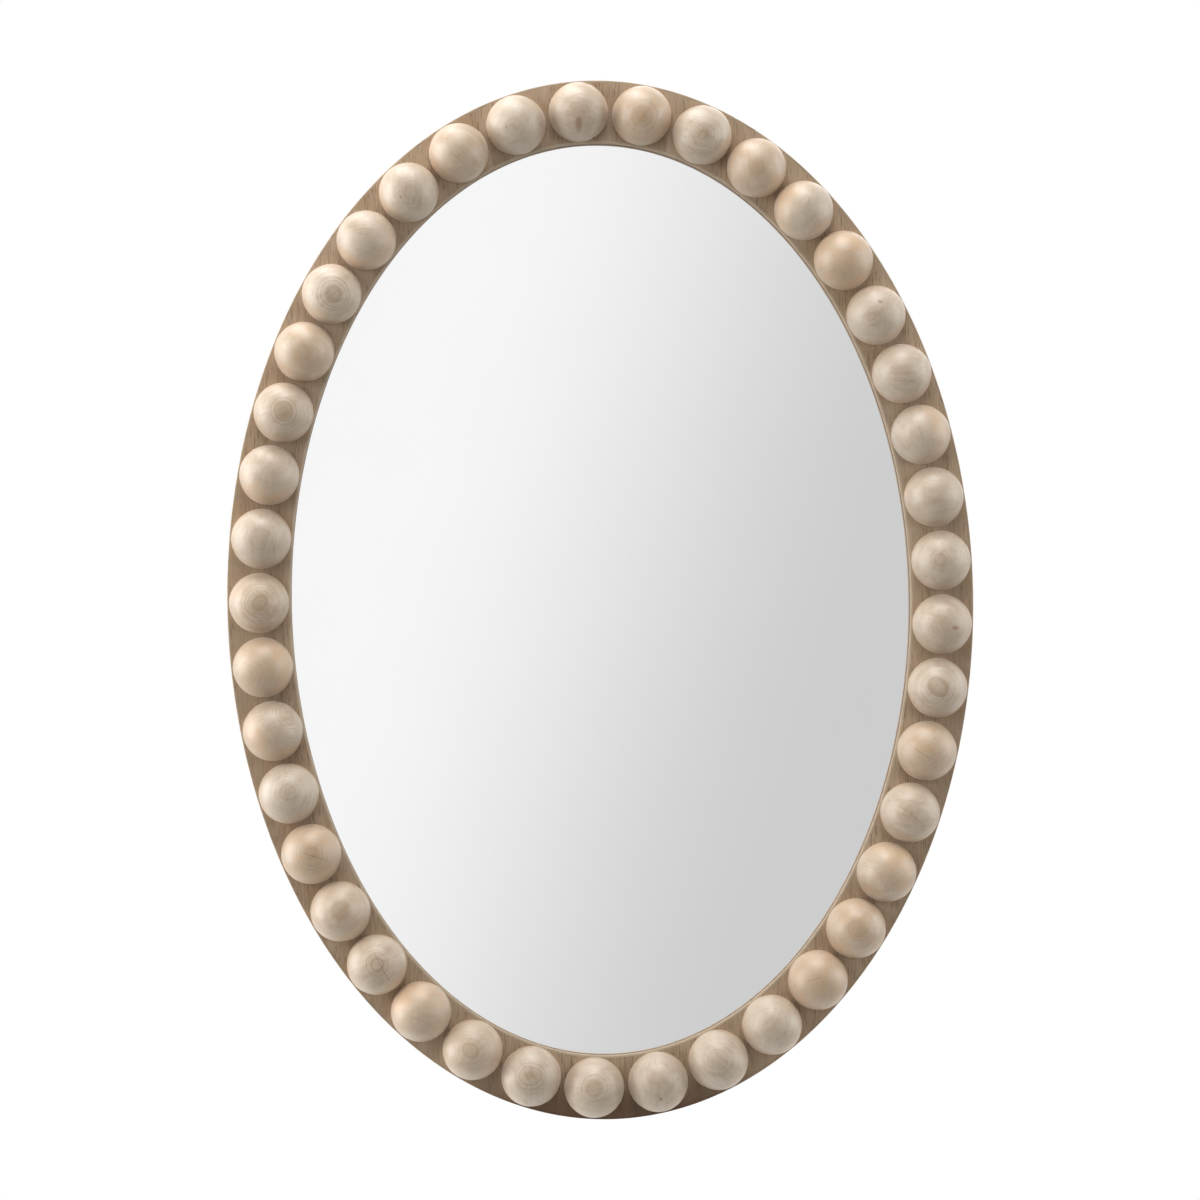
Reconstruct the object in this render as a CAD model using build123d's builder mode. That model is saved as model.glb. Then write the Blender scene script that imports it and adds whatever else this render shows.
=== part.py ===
from build123d import *
import os
from math import asin, cos, degrees, radians, sin, sqrt

# An oval wall mirror with a flat wooden border, which carries one row of half-round beads.
# Sizes are in millimetres. +Z is up and the front faces -Y. The origin lies on the wall, behind
# the middle of the oval. "Height" below means how far something stands in front of the wall.

# ---- The oval and the border ----
opening_width = 518.0  # the oval of glass that shows, across
opening_height = 762.0  # and from bottom to top
board_thickness = 12.0
edge_strip_thickness = 2.0  # wood banding on the board's outer edge and round the opening
edge_ease = 1.2  # the small bevel on the front corners of the banding

# ---- The beads ----
bead_diameter = 50.0
bead_margin = 1.5  # bare board between a bead and either edge of the border
bead_gap = 3.5  # bare board between two beads, before the row is evened out
bead_ease = 0.6  # the small bevel round a bead's flat face
first_bead_shift = 13.7  # how far the first bead stands to the left of the top, along the row

# ---- The pins that locate the beads ----
pin_diameter = 6.0
pin_depth_in_bead = 12.0
pin_depth_in_board = 6.0
pin_bevel = 0.8
glue_gap = 0.1  # round a pin, and twice this past its ends

# ---- The glass and what holds it ----
rebate_width = 10.0  # how far the rebate reaches past the opening
glass_clearance = 1.5  # between the edge of the glass and the rebate
glass_thickness = 4.0
glass_bevel = 0.5  # the ground corner of the glass
liner_thickness = 2.0
backing_thickness = 3.0
backing_inset = 12.0  # from the border's outer edge to the edge of the backing board

# ---- The screws ----
screw_diameter = 3.5
screw_hole_clearance = 0.05  # round a shank
screw_head_diameter = 7.0
screw_point_length = 3.0
backing_screw_count = 12
backing_screw_length = 10.0
backing_screw_inset = 8.0  # from the edge of the backing board
hanger_screw_length = 12.0  # under the head
hanger_screw_head_height = 2.2
drive_recess_width = 3.2  # of the cross in each head
drive_recess_slot = 0.8
drive_recess_depth = 1.2

# ---- The hangers ----
hanger_height = 150.0  # the loops, above the middle of the mirror
strap_width = 14.0
strap_gauge = 1.0  # the steel is folded back on itself, so the strap is two of these thick
strap_first_hole = 24.0  # from the loop to the first screw
strap_hole_spacing = 18.0
strap_end_margin = 7.5  # past the last screw
strap_corner_radius = 6.0
loop_neck_radius = 1.2  # where the outside of the loop runs into the flat of the strap
ring_wire_diameter = 2.5
ring_inside_width = 20.0
ring_inside_length = 15.0
ring_corner_radius = 2.5  # on the middle of the wire
ring_running_clearance = 0.1  # between the wire and the inside of the loop
ring_rest_clearance = 0.15  # between the hanging ring and the strap under it

# ---- The bumpers ----
bumper_thickness = 7.0
bumper_diameter = 16.0
bumper_taper = 10.0  # degrees
bumper_inset = 18.0  # from the edge of the backing board to the middle of a bumper
bumper_ease = 0.8

# ---- Heights in front of the wall ----
backing_height = bumper_thickness
board_height = backing_height + backing_thickness
glass_height = board_height + liner_thickness
lip_height = glass_height + glass_thickness
front_height = board_height + board_thickness

# ---- How far things reach past the edge of the opening ----
band_width = bead_diameter + 2 * bead_margin
backing_reach = band_width - backing_inset
glass_reach = rebate_width - glass_clearance
to_room, to_wall = -1, 1  # the way along Y


def oval(reach, mode=Mode.ADD):
    """The oval that lies `reach` outside the edge of the opening."""
    return Ellipse(opening_width / 2 + reach, opening_height / 2 + reach, mode=mode)


def oval_half_width(reach, z):
    """Half the width of that oval at the level z."""
    half_height = opening_height / 2 + reach
    return (opening_width / 2 + reach) * sqrt(1 - (z / half_height) ** 2)


def level(height):
    """The upright plane at a height in front of the wall, looking out into the room."""
    return Plane.XZ.offset(height)


def place(x, height, z, facing):
    """A plane at a point, which faces the room or the wall."""
    return Plane(origin=(x, -height, z), x_dir=(1, 0, 0), z_dir=(0, facing, 0))


def on_oval(reach, angle):
    """The x and z of the point at an angle round the oval, from the right-hand side upwards."""
    x = (opening_width / 2 + reach) * cos(radians(angle))
    z = (opening_height / 2 + reach) * sin(radians(angle))
    return x, z


def finish(piece, name):
    piece.part.label = name
    export_step(piece.part, f"parts/{name}.step")


os.makedirs("parts", exist_ok=True)

# ---- Where the beads stand: evenly along the middle of the border, clockwise from the top ----
bead_row = Edge.make_ellipse(
    opening_width / 2 + band_width / 2,
    opening_height / 2 + band_width / 2,
    plane=Plane.XZ,
    start_angle=90,
    end_angle=450,
)
bead_count = round(bead_row.length / (bead_diameter + bead_gap))
bead_pitch = bead_row.length / bead_count
bead_places = []
for turn in range(bead_count):
    along = (first_bead_shift - turn * bead_pitch) % bead_row.length
    point = bead_row.position_at(along, PositionMode.LENGTH)
    bead_places.append((point.X, point.Z))

# ---- Where the backing screws, the hangers and the bumpers are ----
screw_angles = [360 / backing_screw_count * turn for turn in range(backing_screw_count)]
backing_screw_places = [
    on_oval(backing_reach - backing_screw_inset, angle) for angle in screw_angles
]
strap_length = strap_first_hole + strap_hole_spacing + strap_end_margin
strap_middle = hanger_height - strap_length / 2
hanger_x = (
    oval_half_width(backing_reach, strap_middle) + oval_half_width(rebate_width, strap_middle)
) / 2
hangers = {"left": -hanger_x, "right": hanger_x}
hanger_screw_levels = [
    hanger_height - strap_first_hole,
    hanger_height - strap_first_hole - strap_hole_spacing,
]
hanger_screw_places = [(x, z) for x in hangers.values() for z in hanger_screw_levels]
strap_thickness = 2 * strap_gauge
hanger_screw_seat = backing_height - strap_thickness

# ---- The frame board: an oval ring with a rebate at the back for the glass ----
with BuildPart() as frame_board:
    with BuildSketch(level(board_height)):
        oval(band_width - edge_strip_thickness)
        oval(edge_strip_thickness, mode=Mode.SUBTRACT)
    extrude(amount=board_thickness)
    with BuildSketch(level(board_height)):
        oval(rebate_width)
    extrude(amount=lip_height - board_height, mode=Mode.SUBTRACT)
    with Locations(*[place(x, front_height, z, to_room) for x, z in bead_places]):
        Hole(pin_diameter / 2 + glue_gap, depth=pin_depth_in_board + 2 * glue_gap)
    with Locations(*[place(x, board_height, z, to_wall) for x, z in backing_screw_places]):
        Hole(
            screw_diameter / 2 + screw_hole_clearance,
            depth=backing_screw_length - backing_thickness + screw_hole_clearance,
        )
    with Locations(*[place(x, board_height, z, to_wall) for x, z in hanger_screw_places]):
        Hole(
            screw_diameter / 2 + screw_hole_clearance,
            depth=hanger_screw_length - strap_thickness - backing_thickness + screw_hole_clearance,
        )
finish(frame_board, "frame_board")

# ---- The wood banding on the board's two edges ----
with BuildPart() as outer_edge_strip:
    with BuildSketch(level(board_height)):
        oval(band_width)
        oval(band_width - edge_strip_thickness, mode=Mode.SUBTRACT)
    extrude(amount=board_thickness)
    front_edges = outer_edge_strip.edges().group_by(Axis.Y)[0]
    chamfer(front_edges.sort_by(SortBy.LENGTH)[-1], edge_ease)
finish(outer_edge_strip, "outer_edge_strip")

with BuildPart() as inner_edge_strip:
    with BuildSketch(level(lip_height)):
        oval(edge_strip_thickness)
        oval(0, mode=Mode.SUBTRACT)
    extrude(amount=front_height - lip_height)
    with BuildSketch(level(front_height - edge_ease)):
        oval(0)
    with BuildSketch(level(front_height)):
        oval(edge_ease)
    loft(mode=Mode.SUBTRACT)
finish(inner_edge_strip, "inner_edge_strip")

# ---- The glass, the sheet behind it and the backing board ----
with BuildPart() as mirror_glass:
    with BuildSketch(level(glass_height)):
        oval(glass_reach)
    extrude(amount=glass_thickness)
    chamfer(mirror_glass.edges().filter_by(GeomType.ELLIPSE), glass_bevel)
finish(mirror_glass, "mirror_glass")

with BuildPart() as liner_sheet:
    with BuildSketch(level(board_height)):
        oval(glass_reach)
    extrude(amount=liner_thickness)
finish(liner_sheet, "liner_sheet")

with BuildPart() as backing_board:
    with BuildSketch(level(backing_height)):
        oval(backing_reach)
    extrude(amount=backing_thickness)
    with Locations(*[place(x, backing_height, z, to_wall) for x, z in backing_screw_places]):
        CounterSinkHole(
            screw_diameter / 2 + screw_hole_clearance,
            screw_head_diameter / 2 + screw_hole_clearance,
            depth=backing_thickness,
            counter_sink_angle=90,
        )
    with Locations(*[place(x, backing_height, z, to_wall) for x, z in hanger_screw_places]):
        Hole(screw_diameter / 2 + screw_hole_clearance, depth=backing_thickness)
finish(backing_board, "backing_board")

# ---- The pins, half in the board and half in the beads ----
pin_length = pin_depth_in_board + pin_depth_in_bead
with BuildPart() as one_pin:
    Cylinder(pin_diameter / 2, pin_length, align=(Align.CENTER, Align.CENTER, Align.MIN))
    chamfer(one_pin.edges().filter_by(GeomType.CIRCLE), pin_bevel)

with BuildPart() as bead_pins:
    pin_foot = front_height - pin_depth_in_board
    with Locations(*[place(x, pin_foot, z, to_room) for x, z in bead_places]):
        add(one_pin.part)
finish(bead_pins, "bead_pins")

# ---- The beads: half balls, flat against the board ----
for number, (x, z) in enumerate(bead_places, start=1):
    bead_axis = Axis((x, -front_height, z), (0, to_room, 0))
    half_section = Plane(bead_axis.position, x_dir=(1, 0, 0), z_dir=(0, 0, -1))
    with BuildPart() as bead:
        with BuildSketch(half_section):
            with BuildLine():
                crown = CenterArc((0, 0), bead_diameter / 2, 0, 90)
                Line(crown @ 1, (0, 0))
                Line((0, 0), crown @ 0)
            make_face()
        revolve(axis=bead_axis)
        chamfer(bead.faces().sort_by(Axis.Y)[-1].edges(), bead_ease)
        with Locations(place(x, front_height, z, to_wall)):
            Hole(pin_diameter / 2 + glue_gap, depth=pin_depth_in_bead + 2 * glue_gap)
    finish(bead, f"bead_{number:02d}")

# ---- The screws, each drawn pointing down from the plane of its seat ----
shank_radius = screw_diameter / 2
head_radius = screw_head_diameter / 2


def drive_recess(top):
    """The cross recess in a screw's head."""
    with BuildSketch(Plane.XY.offset(top)) as cross:
        Rectangle(drive_recess_width, drive_recess_slot)
        Rectangle(drive_recess_slot, drive_recess_width)
    extrude(cross.sketch, amount=-drive_recess_depth, mode=Mode.SUBTRACT)


with BuildPart() as countersunk_screw:
    with BuildSketch(Plane.XZ):
        with BuildLine():
            Polyline(
                (0, 0),
                (head_radius, 0),
                (shank_radius, shank_radius - head_radius),
                (shank_radius, screw_point_length - backing_screw_length),
                (0, -backing_screw_length),
                close=True,
            )
        make_face()
    revolve(axis=Axis.Z)
    drive_recess(0)

with BuildPart() as round_head_screw:
    with BuildSketch(Plane.XZ):
        with BuildLine():
            dome = EllipticalCenterArc((0, 0), head_radius, hanger_screw_head_height, arc_size=90)
            Polyline(
                dome @ 0,
                (shank_radius, 0),
                (shank_radius, screw_point_length - hanger_screw_length),
                (0, -hanger_screw_length),
                dome @ 1,
            )
        make_face()
    revolve(axis=Axis.Z)
    drive_recess(hanger_screw_head_height)

with BuildPart() as backing_screws:
    with Locations(*[place(x, backing_height, z, to_wall) for x, z in backing_screw_places]):
        add(countersunk_screw.part)
finish(backing_screws, "backing_screws")

with BuildPart() as hanger_screws:
    with Locations(*[place(x, hanger_screw_seat, z, to_wall) for x, z in hanger_screw_places]):
        add(round_head_screw.part)
finish(hanger_screws, "hanger_screws")

# ---- The hanger straps: steel folded round the ring's straight side ----
wire_radius = ring_wire_diameter / 2
loop_inside_radius = wire_radius + ring_running_clearance
loop_outside_radius = loop_inside_radius + strap_gauge
loop_height = backing_height - loop_outside_radius  # the ring turns about this line

for side, x in hangers.items():
    with BuildPart() as strap:
        with BuildSketch(Plane.YZ.offset(x - strap_width / 2)) as folded_strap:
            with Locations((-loop_height, hanger_height)):
                Circle(loop_outside_radius)
            with Locations((-backing_height, hanger_height - strap_length)):
                Rectangle(strap_thickness, strap_length, align=(Align.MIN, Align.MIN))
            neck = (strap_thickness - backing_height, hanger_height - loop_outside_radius)
            fillet(folded_strap.vertices().sort_by_distance(neck)[0], loop_neck_radius)
            with Locations((-loop_height, hanger_height)):
                Circle(loop_inside_radius, mode=Mode.SUBTRACT)
        extrude(amount=strap_width)
        lower_corners = strap.edges().filter_by(Axis.Y).group_by(Axis.Z)[0]
        fillet(lower_corners, strap_corner_radius)
        with Locations(*[place(x, backing_height, z, to_wall) for z in hanger_screw_levels]):
            Hole(screw_diameter / 2 + screw_hole_clearance, depth=strap_thickness)
    finish(strap, f"hanger_strap_{side}")

# ---- The D rings: each hangs from its loop and leans on the strap ----
ring_width = ring_inside_width + ring_wire_diameter  # on the middle of the wire
ring_length = ring_inside_length + ring_wire_diameter
lift_needed = wire_radius + ring_rest_clearance - (backing_height - strap_thickness - loop_height)
ring_lean = asin(lift_needed / ring_length)
for side, x in hangers.items():
    ring_plane = Plane(
        origin=(x, -loop_height, hanger_height),
        x_dir=(1, 0, 0),
        z_dir=(0, cos(ring_lean), sin(ring_lean)),
    )
    with BuildPart() as ring:
        with BuildLine(ring_plane) as bend_line:
            bow = CenterArc((0, ring_length - ring_width / 2), ring_width / 2, 0, 180)
            FilletPolyline(
                bow @ 1,
                (-ring_width / 2, 0),
                (ring_width / 2, 0),
                bow @ 0,
                radius=ring_corner_radius,
            )
        bend = bend_line.wire()
        with BuildSketch(Plane(origin=bend @ 0, z_dir=bend % 0)):
            Circle(wire_radius)
        sweep(path=bend)
    finish(ring, f"d_ring_{side}")

# ---- The rubber bumpers on the back ----
bumper_reach = backing_reach - bumper_inset
bumper_angles = {"upper_right": 50, "upper_left": 130, "lower_left": 230, "lower_right": 310}
for corner, angle in bumper_angles.items():
    x, z = on_oval(bumper_reach, angle)
    with BuildPart() as bumper:
        with BuildSketch(place(x, backing_height, z, to_wall)):
            Circle(bumper_diameter / 2)
        extrude(amount=bumper_thickness, taper=bumper_taper)
        fillet(bumper.faces().sort_by(Axis.Y)[-1].edges(), bumper_ease)
    finish(bumper, f"bumper_{corner}")

print(f"{bead_count} beads at {bead_pitch:.2f} mm, border {band_width:.1f} mm wide")
print(f"hangers at x {hanger_x:.2f}, ring lean {degrees(ring_lean):.2f} degrees")
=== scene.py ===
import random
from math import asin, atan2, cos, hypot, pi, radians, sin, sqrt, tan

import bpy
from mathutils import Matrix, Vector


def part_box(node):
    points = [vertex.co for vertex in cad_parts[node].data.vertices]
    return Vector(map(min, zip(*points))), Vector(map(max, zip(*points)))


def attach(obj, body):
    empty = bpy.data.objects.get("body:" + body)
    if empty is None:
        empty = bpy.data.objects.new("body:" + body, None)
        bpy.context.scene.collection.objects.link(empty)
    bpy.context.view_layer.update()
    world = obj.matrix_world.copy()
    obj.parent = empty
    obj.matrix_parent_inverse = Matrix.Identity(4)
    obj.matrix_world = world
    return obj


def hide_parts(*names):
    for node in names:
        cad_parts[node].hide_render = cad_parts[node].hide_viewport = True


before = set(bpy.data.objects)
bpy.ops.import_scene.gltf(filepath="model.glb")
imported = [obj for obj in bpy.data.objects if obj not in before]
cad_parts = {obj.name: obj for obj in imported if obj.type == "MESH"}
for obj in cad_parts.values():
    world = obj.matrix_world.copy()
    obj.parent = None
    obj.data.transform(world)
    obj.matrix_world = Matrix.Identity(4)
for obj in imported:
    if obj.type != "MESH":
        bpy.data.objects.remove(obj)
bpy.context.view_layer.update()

# An oval wall mirror: a flat veneered border with banded edges carries one row of turned half
# balls. The silvered glass lies in a rebate, and behind it are a hardboard back, two hangers and
# four bumpers. +Z is up, the wall is at Y 0 and the front faces -Y. Lengths are in metres, and
# the finishes count in millimetres. "Height" means how far something stands in front of the wall,
# and "reach" how far it lies outside the edge of the opening.

MM = 0.001

# ---- Sizes that the model gives ----
outer_low, outer_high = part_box("outer_edge_strip")
glass_low, glass_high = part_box("mirror_glass")
backing_low, backing_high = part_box("backing_board")
first_bead_low, first_bead_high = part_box("bead_01")
BAND_WIDTH = 53 * MM  # from the border's outer edge to the opening
OPENING_HALF_WIDTH = outer_high.x - BAND_WIDTH
OPENING_HALF_HEIGHT = outer_high.z - BAND_WIDTH
FRONT = -outer_low.y
BOARD_BACK = -outer_high.y
LIP = -glass_low.y
GLASS_BACK = -glass_high.y
BACKING_FRONT = -backing_low.y
BACKING_BACK = -backing_high.y
GLASS_REACH = glass_high.x - OPENING_HALF_WIDTH
BACKING_REACH = backing_high.x - OPENING_HALF_WIDTH
BEAD_RADIUS = (first_bead_high.x - first_bead_low.x) / 2
BEAD_COUNT = sum(name.startswith("bead_") and name[5:].isdigit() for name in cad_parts)

# ---- Sizes of the maker's details ----
STRIP = 2 * MM
STRIP_EASE = 0.8 * MM
GLASS_SHADE_HEIGHT = 2.8 * MM  # how far in front of the glass the inner strip's edge gets painted shade
REBATE = 10 * MM
GLASS_BEVEL = 0.5 * MM
BOARD_EASE = 0.4 * MM
BEAD_EASE = 0.6 * MM
PIN_HOLE_RADIUS = 3.1 * MM
PIN_HOLE_DEPTH = 12.2 * MM
OVAL_STEPS = 360
SEAM = 0.001 * MM  # points that lie closer than this become one
SHARP = radians(35.0)  # a crease that is sharper than this stays one


# ---- Working on one piece at a time ----
def let_go():
    """Leaves nothing selected."""
    if bpy.context.object and bpy.context.object.mode != "OBJECT":
        bpy.ops.object.mode_set(mode="OBJECT")
    bpy.ops.object.select_all(action="DESELECT")


def take_up(piece):
    """Selects the piece alone, as the active one."""
    let_go()
    piece.select_set(True)
    bpy.context.view_layer.objects.active = piece


def start(add, **size):
    """A new piece from a primitive, with its turn put into its mesh."""
    let_go()
    add(**size)
    bpy.ops.object.transform_apply(location=True, rotation=True, scale=True)
    return bpy.context.object


def open_up(piece):
    """Takes the piece into edit mode with all of it selected."""
    take_up(piece)
    bpy.ops.object.mode_set(mode="EDIT")
    bpy.ops.mesh.select_all(action="SELECT")


def pick(kind, wanted):
    """In edit mode, selects the vertices, edges or faces of the active piece that are wanted."""
    bpy.ops.object.mode_set(mode="OBJECT")
    mesh = bpy.context.object.data
    for group in (mesh.vertices, mesh.edges, mesh.polygons):
        group.foreach_set("select", [False] * len(group))
    at = [vertex.co for vertex in mesh.vertices]
    if kind == "VERT":
        for vertex in mesh.vertices:
            vertex.select = bool(wanted(vertex.co))
    elif kind == "EDGE":
        for edge in mesh.edges:
            edge.select = all(wanted(at[corner]) for corner in edge.vertices)
    else:
        for face in mesh.polygons:
            face.select = bool(wanted(face))
    bpy.ops.object.mode_set(mode="EDIT")
    bpy.context.tool_settings.mesh_select_mode = [kind == k for k in ("VERT", "EDGE", "FACE")]


def move(x=0.0, y=0.0, z=0.0):
    bpy.ops.transform.translate(value=(x, y, z))


def widen(x=1.0, y=1.0, z=1.0, about=(0, 0, 0)):
    bpy.ops.transform.resize(value=(x, y, z), center_override=about)


def cut_away(piece, cutter):
    """Takes the cutter's shape out of the piece, and then the cutter itself away."""
    take_up(piece)
    cut = piece.modifiers.new("cut", "BOOLEAN")
    cut.operation, cut.solver, cut.object = "DIFFERENCE", "EXACT", cutter
    bpy.ops.object.modifier_apply(modifier=cut.name)
    bpy.data.objects.remove(cutter)


def twin(pattern):
    """A copy of the pattern with its own mesh."""
    piece = pattern.copy()
    piece.data = pattern.data.copy()
    bpy.context.scene.collection.objects.link(piece)
    return piece


def stop_editing(merge=None):
    """Closes the seams, turns the faces outwards and leaves edit mode."""
    bpy.ops.object.mode_set(mode="EDIT")
    bpy.ops.mesh.select_all(action="SELECT")
    if merge:
        bpy.ops.mesh.remove_doubles(threshold=merge)
    bpy.ops.mesh.normals_make_consistent(inside=False)
    bpy.ops.object.mode_set(mode="OBJECT")


def coat(piece, finish):
    """Gives the piece this finish alone."""
    piece.data.materials.clear()
    piece.data.materials.append(finish.material)


def hand_over(piece, name, finish, body, nodes):
    """Names the finished piece, gives it its finish, hides the modelled parts that it stands for
    and hangs it on its body.
    """
    take_up(piece)
    bpy.ops.object.transform_apply(location=True, rotation=True, scale=True)
    bpy.ops.object.shade_smooth_by_angle(angle=SHARP)
    piece.name = piece.data.name = name
    coat(piece, finish)
    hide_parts(*nodes)
    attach(piece, body)


def keep_vectors(piece, name, vectors):
    """Keeps a vector for each point of the piece, which its finish reads by this name."""
    kept = piece.data.attributes.new(name, "FLOAT_VECTOR", "POINT")
    kept.data.foreach_set("vector", [number for vector in vectors for number in vector])


# ---- Finishes ----
class Value:
    """What a node gives. Arithmetic on it adds Math nodes."""

    def __init__(self, finish, socket):
        self.finish, self.socket = finish, socket

    def math(self, operation, *values):
        inputs = dict(enumerate(values))
        return self.finish.node("ShaderNodeMath", {"operation": operation}, inputs)

    def __add__(self, other):
        return self.math("ADD", self, other)

    def __sub__(self, other):
        return self.math("SUBTRACT", self, other)

    def __rsub__(self, other):
        return self.math("SUBTRACT", other, self)

    def __mul__(self, other):
        return self.math("MULTIPLY", self, other)

    def __truediv__(self, other):
        return self.math("DIVIDE", self, other)

    __radd__ = __add__
    __rmul__ = __mul__

    def size(self):
        return self.math("ABSOLUTE", self)

    def fraction(self):
        return self.math("FRACT", self)

    def root(self):
        return self.math("SQRT", self)

    def between(self, low, high, start=0.0, end=1.0):
        """Goes smoothly from start to end while this goes from low to high."""
        settings = {"interpolation_type": "SMOOTHSTEP"}
        inputs = {0: self, 1: low, 2: high, 3: start, 4: end}
        return self.finish.node("ShaderNodeMapRange", settings, inputs)

    def scaled(self, x, y, z):
        inputs = {0: self, 1: (x, y, z)}
        return self.finish.node("ShaderNodeVectorMath", {"operation": "MULTIPLY"}, inputs)

    def plus(self, vector):
        inputs = {0: self, 1: vector}
        return self.finish.node("ShaderNodeVectorMath", {"operation": "ADD"}, inputs)

    def length(self):
        settings = {"operation": "LENGTH"}
        return self.finish.node("ShaderNodeVectorMath", settings, {0: self}, output=1)

    def part(self, axis):
        return self.finish.node("ShaderNodeSeparateXYZ", {}, {0: self}, output="XYZ".index(axis))


ELSEWHERE = (31, 7, 2)  # moves a pattern, so that it doesn't follow another one


class Finish:
    """A material with one Principled shader, whose fixed values are given by socket name."""

    def __init__(self, name, **fixed):
        self.material = bpy.data.materials.new(name)
        self.material.use_nodes = True
        self.tree = self.material.node_tree
        self.tree.nodes.clear()
        self.shader = self.tree.nodes.new("ShaderNodeBsdfPrincipled")
        output = self.tree.nodes.new("ShaderNodeOutputMaterial")
        self.tree.links.new(self.shader.outputs[0], output.inputs[0])
        for socket, value in fixed.items():
            self.give(socket.replace("_", " "), value)

    def put(self, socket, value):
        if isinstance(value, Value):
            self.tree.links.new(value.socket, socket)
        else:
            socket.default_value = value

    def give(self, socket, value):
        """Sets or links a socket of the shader."""
        self.put(self.shader.inputs[socket], value)

    def node(self, kind, settings, inputs, output=0):
        """Any other node: its settings first, and then the values or links of its sockets."""
        node = self.tree.nodes.new(kind)
        for setting, value in settings.items():
            setattr(node, setting, value)
        for socket, value in inputs.items():
            self.put(node.inputs[socket], value)
        return Value(self, node.outputs[output])

    def place_in_mm(self):
        """Where a point is on the object at rest."""
        place = self.node("ShaderNodeTexCoord", {}, {}, output="Object")
        return place.scaled(1000, 1000, 1000)

    def kept(self, name):
        """The vector that the piece keeps by this name."""
        return self.node("ShaderNodeAttribute", {"attribute_name": name}, {}, output="Vector")

    def noise(self, place, detail=2.0, roughness=0.5, distortion=0.0):
        inputs = {
            "Vector": place,
            "Scale": 1.0,
            "Detail": detail,
            "Roughness": roughness,
            "Distortion": distortion,
        }
        return self.node("ShaderNodeTexNoise", {}, inputs)

    def vector(self, x, y, z):
        return self.node("ShaderNodeCombineXYZ", {}, {0: x, 1: y, 2: z})

    def mix(self, factor, first, second):
        """Goes from the first colour to the second as the factor goes from 0 to 1."""
        colours = {
            socket: value if isinstance(value, Value) else (*value, 1.0)
            for socket, value in ((6, first), (7, second))
        }
        inputs = {0: factor, **colours}
        return self.node("ShaderNodeMix", {"data_type": "RGBA"}, inputs, output=2)

    def bump(self, height, depth_mm):
        inputs = {"Distance": depth_mm * MM, "Height": height}
        self.give("Normal", self.node("ShaderNodeBump", {}, inputs))


RING_GAP = 1.35  # mm from one growth ring to the next
LAYER_BEND = 420  # mm: twice the radius to which the layers bend across a blank
FOOT_SHADE = (-430.0, -386.0)  # the heights in mm between which the painted shade at the foot fades out
# how far in mm the edge of the painted foot shade wanders
FOOT_SHADE_WANDER = 24.0


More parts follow.
